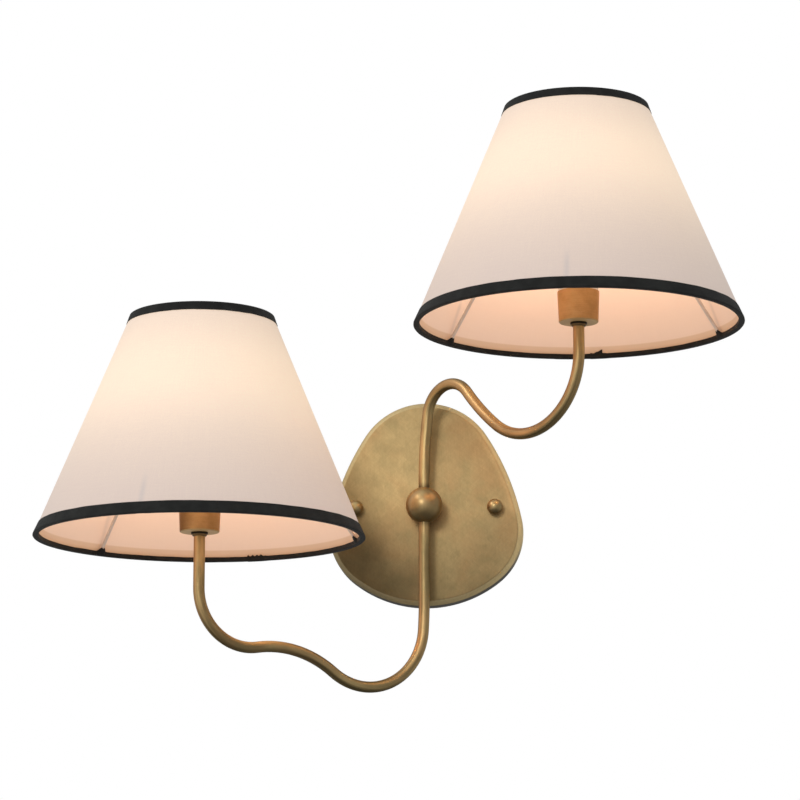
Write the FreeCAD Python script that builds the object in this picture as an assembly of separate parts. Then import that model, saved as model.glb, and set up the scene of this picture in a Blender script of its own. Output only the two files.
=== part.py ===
# Double arm wall sconce: an egg-shaped canopy, a ball hub, two bent tubes and two candle lampholders with shades.
# Millimetres. +X right, +Y into the wall, +Z up. The origin is on the wall, straight behind the ball.
import FreeCAD, Part
import os
from math import cos, sin, tan, asin, atan2, sqrt, radians

# ---- canopy ----
canopyDepth = 15.0
canopyWall = 1.5
canopyTop = 79.0                 # height of the egg's narrow end over the ball's axis
crownArc = (53.0, 57.0)          # (radius, turn in degrees) of the egg's arcs, from the top round to the bottom
flankArc = (182.0, 21.0)
haunchArc = (47.0, 64.0)
canopyEdgeRound = 4.0

# ---- wall fixing ----
strapLength = 117.0
strapWidth = 22.0
strapThick = 2.0
studSpacing = 101.6              # 4 inches between the cap nuts
studRadius = 2.0
studHoleRadius = 2.3
boxSlotSpacing = 79.4            # middle of the range from 69.9 to 88.9 between wall box screws
boxSlotLength = 13.6
boxSlotRadius = 2.2
strapHoleRadius = 6.0
groundScrewPlace = (-20.0, 0.0)
groundShankRadius = 1.75
groundHeadRadius = 2.6
groundHeadThick = 1.7
groundSlotDeep = 0.7

# ---- cap nuts ----
nutBallRadius = 5.7
nutNeckRadius = 4.2
nutNeckLength = 2.0
nutBore = 6.0

# ---- hub ----
ballRadius = 13.3
ballStandOff = 31.0              # from the wall to the ball's centre
seatRadius = 7.0
nippleRadius = 4.85
nippleBoreRadius = 4.0
nippleInside = 9.0               # from the wall to the nipple's end in the canopy
washerRadius = 9.5
washerThick = 1.0
lockNutAcross = 14.0
lockNutThick = 3.0
ballPassage = 3.0                # radius of the leads' way from each tube
ballChamber = 4.6

# ---- arms: straight first, then (radius, turn) of each tangent arc, positive towards the lamp's far side ----
tubeRadius = 4.0
tubeBoreRadius = 3.2
tubeInBall = 7.5                 # distance from the ball's centre to the tube's end
lampStandOff = 137.0             # from the wall to both lamps' axes
upperRise = 16.0
upperArcs = ((326.0, -8.8), (23.4, -131.3), (182.0, 12.9), (51.2, 127.2))
lowerRise = -70.0
lowerArcs = ((307.0, 3.9), (47.2, 122.0), (80.0, -46.1), (39.4, 100.2))
ringHeights = {"upper": 108.3, "lower": -39.0}     # underside of each shade

# ---- lampholder stack, as heights over the stack's own foot level ----
stackLift = {"upper": -1.15, "lower": 1.4}         # foot level over the shade's underside, set by the rings
cupBottom = 2.8
cupTop = 24.6
cupBottomRadius = 13.85
cupTopRadius = 14.7
cupWall = 1.2
collarRadius = 5.9
collarLipRadius = 5.1
collarHeight = 2.7
collarWide = 1.4                 # height of the wide part, which meets the cup
holderFootRadius = 11.6
holderThreadRadius = 14.0
holderBoreRadius = 7.4
holderTop = 48.0
holderFloor = 21.0
tubeInCup = 7.0                  # how far the tube's threaded end stands up in the cup
threadClearance = 0.06
shellRadius = 6.9
shellBoreRadius = 6.15
shellTurns = 6
shellStraight = 4.0              # plain length under the rolled thread
shellMouth = 5.0                 # from the mouth's roll to the lampholder's top

# ---- rings that carry the shade, as heights over its underside ----
shadeRingRadius = 19.0
seatLow = 36.15
seatRingThick = 2.0
clampRingThick = 4.0
ringPlay = 0.15                  # between each ring and the wire it holds
notchCount = 24
notchRadius = 1.5

# ---- lamp ----
lampCapRadius = 5.8
lampCapTop = 50.0
lampRadius = 17.5
lampBelly = 24.0                 # from the cap to the widest place
lampLowArc = 32.0                # radius of the outline under the belly
lampHighArc = 73.5               # and over it, for this height:
lampHighArcRise = 39.0
lampGlass = 0.8

# ---- shade ----
shadeBottomRadius = 115.3
shadeTopRadius = 50.5
shadeHeight = 157.4
tapeThick = 0.4
clothThick = 0.6
ringWireRadius = 1.0
strutWireRadius = 1.2
bottomTapeOutside = 9.0         # measured down the slope
bottomTapeInside = 3.2
topTapeOutside = 6.7
topTapeInside = 4.0
spiderBendRadius = 85.1          # where each wire stops rising and runs level
strutBend = 8.0
strutAngles = {"upper": (267.0, 27.0, 147.0), "lower": (257.4, 17.4, 137.4)}

# ---- leads ----
leadRadius = 1.7
leadSpread = 2.0                 # each lead's height over or under the nipple's axis
leadBend = 4.2
connectorSize = (13.0, 8.5, 17.0)
connectorReach = 26.0            # height of the connector's mouth over the ball's axis
connectorShift = 2.2             # from the lead's axis to the case's middle, away from the wall
connectorRound = 1.0
connectorMouth = (1.5, 6.0)      # (radius, depth)

V = FreeCAD.Vector
slopeAngle = atan2(shadeBottomRadius - shadeTopRadius, shadeHeight)
lampAlong = {}                   # in-plane distance from the ball to each lamp's axis


def lathe(profile, centre=V(0, 0, 0)):
    """Solid of revolution about a vertical axis from (radius, height) corners."""
    points = [V(r, 0, z) for r, z in profile]
    face = Part.Face(Part.makePolygon(points + [points[0]]))
    solid = face.revolve(V(0, 0, 0), V(0, 0, 1), 360)
    solid.translate(centre)
    return solid


def rod(radius, start, end):
    """Cylinder between two points."""
    along = end - start
    return Part.makeCylinder(radius, along.Length, start, along)


def yRod(radius, x, z, y0, y1):
    return rod(radius, V(x, y0, z), V(x, y1, z))


# ---------- the egg ----------
def eggWire(inset, y):
    """The egg's outline, moved in by inset. The bottom arc's radius closes the half outline on the middle line."""
    turned = [0.0]
    for _, turn in (crownArc, flankArc, haunchArc):
        turned.append(turned[-1] + radians(turn))
    turned.append(radians(180))
    radii = [crownArc[0], flankArc[0], haunchArc[0]]
    across = sum(r * (sin(b) - sin(a)) for r, a, b in zip(radii, turned, turned[1:]))
    radii.append(across / sin(turned[3]))
    edges = []
    x, z = 0.0, canopyTop - inset
    for full, a, b in zip(radii, turned, turned[1:]):
        r = full - inset
        cx, cz = x - r * sin(a), z - r * cos(a)
        place = [(cx + r * sin(t), cz + r * cos(t)) for t in (a, (a + b) / 2, b)]
        x, z = place[2]
        if b == turned[-1]:
            place[2] = (0.0, z)
        for side in (1, -1):
            edges.append(Part.Arc(*[V(side * px, y, pz) for px, pz in place]).toShape())
    return Part.Wire(Part.__sortEdges__(edges))


def eggSlab(inset, y0, y1):
    return Part.Face(eggWire(inset, y0)).extrude(V(0, y1 - y0, 0))


def makeCanopy():
    """Pan with an open back, a rounded front edge and holes for the nipple and the two studs."""
    outer = eggSlab(0, 0, -canopyDepth)
    front = [e for e in outer.Edges if abs(e.BoundBox.YMax + canopyDepth) < 0.01]
    outer = outer.makeFillet(canopyEdgeRound, front)
    inner = eggSlab(canopyWall, 1, canopyWall - canopyDepth)
    deep = [e for e in inner.Edges if abs(e.BoundBox.YMax - canopyWall + canopyDepth) < 0.01]
    inner = inner.makeFillet(canopyEdgeRound - canopyWall, deep)
    pan = outer.cut(inner)
    pan = pan.cut(yRod(nippleRadius, 0, 0, 1, -canopyDepth - 1))
    for side in (-1, 1):
        pan = pan.cut(yRod(studHoleRadius, side * studSpacing / 2, 0, 1, -canopyDepth - 1))
    return pan


# ---------- wall fixing ----------
def slotCutter(x, z, length, radius, y0, y1):
    """Slot along X with round ends."""
    half = length / 2 - radius
    bar = Part.makeBox(2 * half, y1 - y0, 2 * radius, V(x - half, y0, z - radius))
    return bar.fuse([yRod(radius, x + s * half, z, y0, y1) for s in (-1, 1)]).removeSplitter()


def makeCrossbar():
    """Flat strap with round ends, tapped stud holes, two screw slots and the hole for the supply wires."""
    strap = slotCutter(0, 0, strapLength, strapWidth / 2, -strapThick, 0)
    cutters = [yRod(strapHoleRadius, 0, -1.5, -strapThick - 1, 1)]
    cutters.append(yRod(groundShankRadius, groundScrewPlace[0], groundScrewPlace[1], -strapThick - 1, 1))
    for side in (-1, 1):
        cutters.append(yRod(studRadius, side * studSpacing / 2, 0, -strapThick - 1, 1))
        cutters.append(slotCutter(side * boxSlotSpacing / 2, 0, boxSlotLength, boxSlotRadius, -strapThick - 1, 1))
    return strap.cut(cutters)


def makeGroundScrew():
    x, z = groundScrewPlace
    front = -strapThick - groundHeadThick
    shank = yRod(groundShankRadius, x, z, 0, -strapThick)
    head = yRod(groundHeadRadius, x, z, -strapThick, front)
    rim = [e for e in head.Edges if abs(e.BoundBox.YMax - front) < 0.01]
    head = head.makeFillet(0.6, rim)
    slot = Part.makeBox(6, 1 + groundSlotDeep, 0.8, V(x - 3, front - 1, z - 0.4))
    return shank.fuse(head).cut(slot).removeSplitter()


def makeStuds():
    end = -canopyDepth - 4.5
    return Part.makeCompound([yRod(studRadius, s * studSpacing / 2, 0, 0, end) for s in (-1, 1)])


def capNut(x):
    """Ball head on a short neck, tapped from the back."""
    centre = -canopyDepth - nutNeckLength - sqrt(nutBallRadius ** 2 - nutNeckRadius ** 2)
    ball = Part.makeSphere(nutBallRadius, V(x, centre, 0))
    neck = yRod(nutNeckRadius, x, 0, -canopyDepth, centre)
    body = ball.fuse(neck).removeSplitter()
    behind = Part.makeBox(20, 20, 20, V(x - 10, -canopyDepth, -10))
    return body.cut([behind, yRod(studRadius, x, 0, -canopyDepth + 1, -canopyDepth - nutBore)])


# ---------- hub ----------
ballCentre = V(0, -ballStandOff, 0)


def makeBall():
    """Ball bored from the back for the nipple and up and down for the tubes, with narrower ways for the leads."""
    ball = Part.makeSphere(ballRadius, ballCentre)
    nippleEnd = -ballStandOff + tubeInBall
    cutters = [yRod(nippleRadius, 0, 0, nippleEnd, 0), yRod(nippleBoreRadius, 0, 0, -ballStandOff, nippleEnd)]
    cutters.append(Part.makeSphere(ballChamber, ballCentre))
    for up in (-1, 1):
        top = V(0, -ballStandOff, up * 20)
        cutters.append(rod(tubeRadius, V(0, -ballStandOff, up * tubeInBall), top))
        cutters.append(rod(ballPassage, ballCentre, top))
    return ball.cut(cutters)


def makeHubSeat():
    seat = yRod(seatRadius, 0, 0, -canopyDepth, -ballStandOff + 6)
    bore = yRod(nippleRadius, 0, 0, -canopyDepth + 1, -ballStandOff)
    return seat.cut([Part.makeSphere(ballRadius, ballCentre), bore])


def makeNipple():
    """Threaded tube from inside the ball to inside the canopy."""
    front = -ballStandOff + tubeInBall
    return yRod(nippleRadius, 0, 0, front, -nippleInside).cut(yRod(nippleBoreRadius, 0, 0, front - 1, 0))


def makeWasher():
    back = canopyWall - canopyDepth
    return yRod(washerRadius, 0, 0, back, back + washerThick).cut(yRod(nippleRadius, 0, 0, back - 1, 0))


def makeLockNut():
    """Hexagon nut on the nipple, corners turned off."""
    back = canopyWall - canopyDepth + washerThick
    corner = lockNutAcross / 2 / cos(radians(30))
    points = [V(corner * cos(radians(60 * k)), back, corner * sin(radians(60 * k))) for k in range(7)]
    nut = Part.Face(Part.makePolygon(points)).extrude(V(0, lockNutThick, 0))
    barrel = yRod(corner - 0.3, 0, 0, back, back + lockNutThick)
    rim = [e for e in barrel.Edges if abs(e.BoundBox.YMin - back - lockNutThick) < 0.01]
    return nut.common(barrel.makeFillet(0.5, rim)).cut(yRod(nippleRadius, 0, 0, back - 1, 0))


# ---------- arms and leads ----------
def armEdges(rise, arcs, startZ, endZ):
    """Centreline in a vertical plane as (along, height): a straight run, tangent arcs, and a straight run up."""
    up = 1 if rise > 0 else -1
    heading = radians(90 * up)
    runs = [("line", (0.0, startZ), (0.0, rise))]
    s, z = 0.0, rise
    for radius, turn in arcs:
        step = radians(turn)
        bend = 1 if step > 0 else -1
        cs, cz = s - bend * radius * sin(heading), z + bend * radius * cos(heading)
        place = []
        for part in (0.5, 1.0):
            a = heading + step * part
            place.append((cs + bend * radius * sin(a), cz - bend * radius * cos(a)))
        runs.append(("arc", (s, z), place[0], place[1]))
        heading += step
        s, z = place[1]
    runs.append(("line", (s, z), (s, endZ)))
    return runs, s


def plane(side):
    """Direction, seen from above, from the ball to the lamp: both lamps stand the same distance off the wall."""
    turn = asin((lampStandOff - ballStandOff) / lampAlong[side])
    return (cos(turn) if side == "upper" else -cos(turn)), -sin(turn)


def lampAxis(side):
    """Point under the lamp at the shade's underside."""
    dx, dy = plane(side)
    return V(lampAlong[side] * dx, -ballStandOff + lampAlong[side] * dy, ringHeights[side])


def armShapes(side):
    return (upperRise, upperArcs) if side == "upper" else (lowerRise, lowerArcs)


def toEdges(runs, side):
    dx, dy = plane(side)

    def at(point):
        return V(point[0] * dx, -ballStandOff + point[0] * dy, point[1])
    edges = []
    for run in runs:
        if run[0] == "line":
            edges.append(Part.LineSegment(at(run[1]), at(run[2])).toShape())
        else:
            edges.append(Part.Arc(at(run[1]), at(run[2]), at(run[3])).toShape())
    return edges


def pipe(edges, radius):
    """Round bar along a chain of tangent lines and arcs."""
    path = Part.Wire(edges)
    start = path.Vertexes[0].Point
    tangent = edges[0].tangentAt(edges[0].FirstParameter)
    disc = Part.Wire(Part.makeCircle(radius, start, tangent))
    return path.makePipeShell([disc], True, False)


def tubeEnd(side):
    return ringHeights[side] + stackLift[side] + cupBottom + tubeInCup


def makeArm(side):
    rise, arcs = armShapes(side)
    start = tubeInBall if rise > 0 else -tubeInBall
    runs, _ = armEdges(rise, arcs, start, tubeEnd(side))
    edges = toEdges(runs, side)
    length = sum(e.Length for e in edges)
    tube = pipe(edges, tubeRadius).cut(pipe(edges, tubeBoreRadius))
    whole = 3.14159265 * (tubeRadius ** 2 - tubeBoreRadius ** 2) * length
    print("%s_arm length %.1f mm, volume %.0f of %.0f mm3" % (side, length, tube.Volume, whole))
    return tube


def makeLead(side):
    """Flex from the lampholder through the tube, the ball and the nipple, then up or down to a connector."""
    rise, arcs = armShapes(side)
    up = 1 if rise > 0 else -1
    level = up * leadSpread
    top = ringHeights[side] + stackLift[side] + holderFloor - 1.5
    bendStart = level + up * leadBend
    runs, _ = armEdges(rise, arcs, bendStart, top)
    edges = toEdges(runs, side)
    k = leadBend * (1 - cos(radians(45)))
    inY = -ballStandOff
    outY = -nippleInside + leadBend
    edges.insert(0, Part.Arc(V(0, inY, bendStart), V(0, inY + k, level + up * k),
                             V(0, inY + leadBend, level)).toShape())
    edges.insert(0, Part.LineSegment(V(0, inY + leadBend, level), V(0, outY - leadBend, level)).toShape())
    edges.insert(0, Part.Arc(V(0, outY - leadBend, level), V(0, outY - k, level + up * k),
                             V(0, outY, level + up * leadBend)).toShape())
    edges.insert(0, Part.LineSegment(V(0, outY, level + up * leadBend), V(0, outY, up * connectorReach)).toShape())
    chain = Part.__sortEdges__(edges)
    ordered = Part.Wire(chain)
    first = ordered.OrderedEdges[0]
    start = ordered.OrderedVertexes[0].Point
    disc = Part.Wire(Part.makeCircle(leadRadius, start, first.tangentAt(first.FirstParameter)))
    return ordered.makePipeShell([disc], True, False)


def makeConnectors():
    """Two-way connector on each lead, with a rounded case and two lever mouths on the wall side's far end."""
    wide, deep, tall = connectorSize
    radius, depth = connectorMouth
    y = -nippleInside + leadBend - connectorShift
    made = []
    for up in (1, -1):
        low = connectorReach if up > 0 else -connectorReach - tall
        case = Part.makeBox(wide, deep, tall, V(-wide / 2, y - deep / 2, low))
        case = case.makeFillet(connectorRound, [e for e in case.Edges if abs(e.BoundBox.ZLength - tall) < 0.01])
        far = low + tall if up > 0 else low
        for x in (-wide / 4, wide / 4):
            case = case.cut(rod(radius, V(x, y, far - up * depth), V(x, y, far + up)))
        made.append(case)
    return Part.makeCompound(made)


# ---------- lampholder ----------
def makeCollar(at):
    """Stepped ring on the tube: its wide part meets the cup, its narrow lip is below."""
    low = cupBottom - collarHeight
    step = cupBottom - collarWide
    return lathe([(tubeRadius, low), (collarLipRadius - 0.4, low), (collarLipRadius, low + 0.4),
                  (collarLipRadius, step), (collarRadius - 0.3, step), (collarRadius, step + 0.3),
                  (collarRadius, cupBottom), (tubeRadius, cupBottom)], at)


def makeCup(at):
    """Flared cup with a flat floor, open at the top."""
    floor = cupBottom + cupWall
    return lathe([(tubeRadius, cupBottom), (cupBottomRadius - 0.6, cupBottom), (cupBottomRadius, cupBottom + 0.6),
                  (cupTopRadius, cupTop), (cupTopRadius - cupWall, cupTop), (cupBottomRadius - cupWall, floor),
                  (tubeRadius, floor)], at)


def makeLampholder(at):
    """Body that screws on the tube in the cup: wide threaded barrel above, hollow for the screw shell."""
    foot = cupBottom + cupWall
    return lathe([(tubeRadius, foot), (holderFootRadius - 0.8, foot), (holderFootRadius, foot + 0.8),
                  (holderFootRadius, cupTop), (holderThreadRadius, cupTop), (holderThreadRadius, holderTop - 0.8),
                  (holderThreadRadius - 0.8, holderTop), (holderBoreRadius + 0.5, holderTop),
                  (holderBoreRadius, holderTop - 0.5), (holderBoreRadius, holderFloor), (leadRadius, holderFloor),
                  (leadRadius, cupBottom + tubeInCup), (tubeRadius, cupBottom + tubeInCup)], at)


def makeScrewShell(at):
    """Thin shell with a rolled mouth and a rolled coarse thread, seated on the lampholder's floor."""
    top = holderTop - shellMouth
    low = holderFloor + shellStraight
    pitch = (top - low) / shellTurns
    outer, inner = [], []
    for k in range(shellTurns):
        base = low + k * pitch
        outer += [(shellRadius, base), (shellRadius + 0.35, base + pitch / 2)]
        inner += [(shellBoreRadius, base), (shellBoreRadius + 0.35, base + pitch / 2)]
    profile = [(shellRadius, holderFloor)] + outer + [(shellRadius, top), (shellRadius + 0.4, top + 2)]
    profile += [(shellBoreRadius + 0.4, top + 2), (shellBoreRadius, top)] + inner[::-1]
    profile.append((shellBoreRadius, holderFloor))
    return lathe(profile, at)


def makeContact(at):
    """Bent spring tongue that meets the lamp's tip."""
    thick = 0.4
    wide = 3.0
    z = holderFloor
    points = [(-5.6, z), (0.8, z), (2.6, z + 1.0), (1.0, z + 2.0), (-1.8, z + 2.2), (-1.8, z + 2.2 - thick),
              (0.9, z + 2.0 - thick), (1.8, z + 1.0), (0.6, z + thick), (-5.6, z + thick)]
    face = Part.Face(Part.makePolygon([V(x, -wide / 2, h) for x, h in points + [points[0]]]))
    tongue = face.extrude(V(0, wide, 0))
    tongue.translate(at)
    return tongue


def makeShadeRing(at, low, thick, notches):
    """Threaded ring on the lampholder with finger notches round its edge."""
    bore = holderThreadRadius + (threadClearance if notches else 0)
    ring = lathe([(bore, low), (shadeRingRadius - 0.5, low), (shadeRingRadius, low + 0.5),
                  (shadeRingRadius, low + thick - 0.5), (shadeRingRadius - 0.5, low + thick), (bore, low + thick)], at)
    reach = shadeRingRadius + 0.6 * notchRadius
    cutters = []
    for k in range(notches):
        a = radians(360.0 * k / notches)
        place = at + V(reach * cos(a), reach * sin(a), 0)
        cutters.append(rod(notchRadius, place + V(0, 0, low - 1), place + V(0, 0, low + thick + 1)))
    return ring.cut(cutters) if cutters else ring


# ---------- lamp ----------
def makeBulbCap(at):
    """Screw cap of the lamp, with its insulator and tip."""
    tip = holderFloor + 2.5
    return lathe([(0, tip), (2.0, tip), (2.4, tip + 1.0), (lampCapRadius - 1.0, tip + 3.2),
                  (lampCapRadius - 0.3, tip + 4), (lampCapRadius, tip + 5), (lampCapRadius, lampCapTop - 3.0),
                  (lampCapRadius + 1.2, lampCapTop), (0, lampCapTop)], at)


def bulbSolid(shrink):
    """Candle lamp of three tangent arcs: neck to belly, belly to shoulder, and the round tip on the axis."""
    belly = lampCapTop + lampBelly
    low, high = lampLowArc - shrink, lampHighArc - shrink
    lowX, highX = lampRadius - lampLowArc, lampRadius - lampHighArc
    lean = asin(lampHighArcRise / lampHighArc)
    tipRadius = lampHighArc + highX / cos(lean)
    tipZ = belly - highX * tan(lean)

    def lowAt(a):
        return V(lowX + low * cos(a), 0, belly - low * sin(a))

    def highAt(a):
        return V(highX + high * cos(a), 0, belly + high * sin(a))

    def tipAt(a):
        return V((tipRadius - shrink) * cos(a), 0, tipZ + (tipRadius - shrink) * sin(a))
    drop = asin(lampBelly / low)
    rest = (radians(90) + lean) / 2
    start, end = lowAt(drop), tipAt(radians(90))
    end.x = 0.0
    edges = [Part.Arc(start, lowAt(drop / 2), lowAt(0)).toShape(),
             Part.Arc(highAt(0), highAt(lean / 2), highAt(lean)).toShape(),
             Part.Arc(tipAt(lean), tipAt(rest), end).toShape(),
             Part.LineSegment(end, V(0, 0, lampCapTop)).toShape(),
             Part.LineSegment(V(0, 0, lampCapTop), start).toShape()]
    return Part.Face(Part.Wire(Part.__sortEdges__(edges))).revolve(V(0, 0, 0), V(0, 0, 1), 360)


def makeBulbGlass(at):
    glass = bulbSolid(0).cut(bulbSolid(lampGlass))
    glass.translate(at)
    return glass


def makeFilament(at):
    """Glass stem with four light bars in a square round it."""
    stem = rod(1.6, V(0, 0, lampCapTop), V(0, 0, lampCapTop + 20))
    top = rod(0.5, V(0, 0, lampCapTop + 20), V(0, 0, lampCapTop + 46))
    made = stem.fuse(top)
    for k in range(4):
        a = radians(45 + 90 * k)
        low = V(1.2 * cos(a), 1.2 * sin(a), lampCapTop + 14)
        high = V(4.4 * cos(a), 4.4 * sin(a), lampCapTop + 44)
        made = made.fuse([rod(0.7, low, high), rod(0.35, high, V(0, 0, lampCapTop + 45.5))])
    made.translate(at)
    return made


# ---------- shade ----------
def slopeLine(inset, z):
    """Radius of the shade's slope at a height, moved in by inset at a right angle to the cloth."""
    return shadeBottomRadius - inset / cos(slopeAngle) - z * tan(slopeAngle)


def slopeBand(insetOut, insetIn, z0, z1):
    """Band of the cone between two heights."""
    return [(slopeLine(insetOut, z0), z0), (slopeLine(insetOut, z1), z1), (slopeLine(insetIn, z1), z1),
            (slopeLine(insetIn, z0), z0)]


def makeCloth(at):
    return lathe(slopeBand(tapeThick, tapeThick + clothThick, tapeThick, shadeHeight - tapeThick), at)


def ringWireCentre(z):
    return slopeLine(tapeThick + clothThick + ringWireRadius, z)


bottomWireHeight = tapeThick + ringWireRadius
topWireHeight = shadeHeight - tapeThick - ringWireRadius


def makeRingWire(at, z):
    return Part.makeTorus(ringWireCentre(z), ringWireRadius, at + V(0, 0, z))


def makeBottomTape(at):
    """Tape folded under the cloth's edge and the wire: wide outside, narrow inside."""
    outTop = bottomTapeOutside * cos(slopeAngle)
    wireIn = ringWireCentre(bottomWireHeight) - ringWireRadius
    inside = wireIn - tapeThick
    return lathe([(slopeLine(0, 0.0) - 0.4, 0.0), (slopeLine(0, 0.4), 0.4), (slopeLine(0, outTop), outTop),
                  (slopeLine(tapeThick, outTop), outTop), (slopeLine(tapeThick, tapeThick), tapeThick),
                  (wireIn, tapeThick), (wireIn, bottomTapeInside), (inside, bottomTapeInside), (inside, 0.4),
                  (inside + 0.4, 0.0)], at)


def makeTopTape(at):
    """The same over the top edge."""
    low = shadeHeight - topTapeOutside * cos(slopeAngle)
    wireIn = ringWireCentre(topWireHeight) - ringWireRadius
    inside = wireIn - tapeThick
    top = shadeHeight
    bottomIn = top - topTapeInside
    return lathe([(slopeLine(0, low), low), (slopeLine(0, top - 0.4), top - 0.4), (slopeLine(0, top) - 0.4, top),
                  (inside + 0.4, top), (inside, top - 0.4), (inside, bottomIn), (wireIn, bottomIn),
                  (wireIn, top - tapeThick), (slopeLine(tapeThick, top - tapeThick), top - tapeThick),
                  (slopeLine(tapeThick, low), low)], at)


fitterHeight = seatLow + seatRingThick + ringPlay + strutWireRadius
fitterRadius = holderThreadRadius + 0.8 + strutWireRadius


def strutEdges():
    """One wire from the bottom ring up to the bend and level to the fitter ring, in the plane y = 0."""
    low = V(ringWireCentre(bottomWireHeight), 0, bottomWireHeight)
    bend = V(spiderBendRadius, 0, fitterHeight)
    end = V(fitterRadius, 0, fitterHeight)
    rise = bend - low
    turn = atan2(rise.z, -rise.x)
    back = strutBend * tan(turn / 2)
    a = bend - rise * (back / rise.Length)
    b = bend - V(back, 0, 0)
    centre = b - V(0, 0, strutBend)
    mid = centre + V(strutBend * sin(turn / 2), 0, strutBend * cos(turn / 2))
    return [Part.LineSegment(low, a).toShape(), Part.Arc(a, mid, b).toShape(), Part.LineSegment(b, end).toShape()]


def makeSpider(at, side):
    """Fitter ring with three wires, welded to the bottom ring's inner side."""
    made = Part.makeTorus(fitterRadius, strutWireRadius, V(0, 0, fitterHeight))
    for angle in strutAngles[side]:
        strut = pipe(strutEdges(), strutWireRadius)
        strut.rotate(V(0, 0, 0), V(0, 0, 1), angle)
        made = made.fuse(strut)
    made.translate(at)
    bottom = makeRingWire(at, bottomWireHeight)
    tape = makeBottomTape(at)
    cloth = makeCloth(at)
    kept = made.cut([bottom, tape, cloth])
    return max(kept.Solids, key=lambda s: s.Volume)


# ---------- the whole sconce ----------
def makeAll():
    for side in ("upper", "lower"):
        rise, arcs = armShapes(side)
        _, lampAlong[side] = armEdges(rise, arcs, 0, 0)
    parts = {
        "canopy": makeCanopy(),
        "crossbar": makeCrossbar(),
        "ground_screw": makeGroundScrew(),
        "canopy_studs": makeStuds(),
        "cap_nuts": Part.makeCompound([capNut(s * studSpacing / 2) for s in (-1, 1)]),
        "hub_ball": makeBall(),
        "hub_seat": makeHubSeat(),
        "hub_nipple": makeNipple(),
        "hub_washer": makeWasher(),
        "hub_lock_nut": makeLockNut(),
        "lead_connectors": makeConnectors(),
    }
    clampLow = fitterHeight + strutWireRadius + ringPlay
    for side in ("upper", "lower"):
        at = lampAxis(side)
        foot = at + V(0, 0, stackLift[side])
        print(side, "lamp axis x %.2f y %.2f z %.2f" % (at.x, at.y, at.z))
        parts[side + "_arm"] = makeArm(side)
        parts[side + "_lead"] = makeLead(side)
        parts[side + "_collar"] = makeCollar(foot)
        parts[side + "_socket_cup"] = makeCup(foot)
        parts[side + "_lampholder"] = makeLampholder(foot)
        parts[side + "_screw_shell"] = makeScrewShell(foot)
        parts[side + "_centre_contact"] = makeContact(foot)
        parts[side + "_seat_ring"] = makeShadeRing(at, seatLow, seatRingThick, 0)
        parts[side + "_clamp_ring"] = makeShadeRing(at, clampLow, clampRingThick, notchCount)
        parts[side + "_bulb_cap"] = makeBulbCap(foot)
        parts[side + "_bulb_glass"] = makeBulbGlass(foot)
        parts[side + "_bulb_filament"] = makeFilament(foot)
        parts[side + "_shade_cloth"] = makeCloth(at)
        parts[side + "_bottom_tape"] = makeBottomTape(at)
        parts[side + "_top_tape"] = makeTopTape(at)
        parts[side + "_bottom_wire"] = makeRingWire(at, bottomWireHeight)
        parts[side + "_top_wire"] = makeRingWire(at, topWireHeight)
        parts[side + "_shade_spider"] = makeSpider(at, side)
    return parts


os.makedirs("parts", exist_ok=True)
allParts = makeAll()
for name, shape in allParts.items():
    if not shape.isValid():
        print("not valid:", name)
    shape.exportStep("parts/" + name + ".step")
print(len(allParts), "parts written")
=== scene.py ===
import bpy
from math import atan2, cos, exp, hypot, pi, radians, sin, tan
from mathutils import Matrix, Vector, noise


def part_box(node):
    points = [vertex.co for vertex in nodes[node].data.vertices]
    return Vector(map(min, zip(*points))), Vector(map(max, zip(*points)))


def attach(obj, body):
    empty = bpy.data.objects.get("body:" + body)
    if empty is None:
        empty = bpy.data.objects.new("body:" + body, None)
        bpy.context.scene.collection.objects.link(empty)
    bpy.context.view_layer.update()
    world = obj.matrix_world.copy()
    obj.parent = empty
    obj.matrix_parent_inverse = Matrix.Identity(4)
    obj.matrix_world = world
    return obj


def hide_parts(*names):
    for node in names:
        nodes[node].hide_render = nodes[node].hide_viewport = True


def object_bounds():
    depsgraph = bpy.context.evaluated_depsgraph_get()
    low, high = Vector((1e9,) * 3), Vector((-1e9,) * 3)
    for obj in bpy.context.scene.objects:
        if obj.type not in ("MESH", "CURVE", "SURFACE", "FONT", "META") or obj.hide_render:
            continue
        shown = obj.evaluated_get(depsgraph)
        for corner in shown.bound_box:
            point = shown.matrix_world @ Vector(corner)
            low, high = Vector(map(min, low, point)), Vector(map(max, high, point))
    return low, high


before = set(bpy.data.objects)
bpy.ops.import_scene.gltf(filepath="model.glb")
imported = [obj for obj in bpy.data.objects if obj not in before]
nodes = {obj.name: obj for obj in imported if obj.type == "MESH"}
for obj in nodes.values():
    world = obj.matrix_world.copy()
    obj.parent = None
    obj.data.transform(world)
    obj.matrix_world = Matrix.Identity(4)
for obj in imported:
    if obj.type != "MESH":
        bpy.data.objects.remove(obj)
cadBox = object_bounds()
mm = 0.001
sides = ("upper", "lower")


# Each lamp's axis at the height of its shade's foot, taken from the frame
def lampAxis(side):
    low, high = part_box(side + "_socket_cup")
    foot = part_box(side + "_bottom_tape")[0].z
    return Vector(((low.x + high.x) / 2, (low.y + high.y) / 2, foot))


def middleOf(node):
    return sum(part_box(node), Vector()) / 2


def tone(red, green, blue):
    return (red, green, blue, 1.0)


axes = {side: lampAxis(side) for side in sides}

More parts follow.
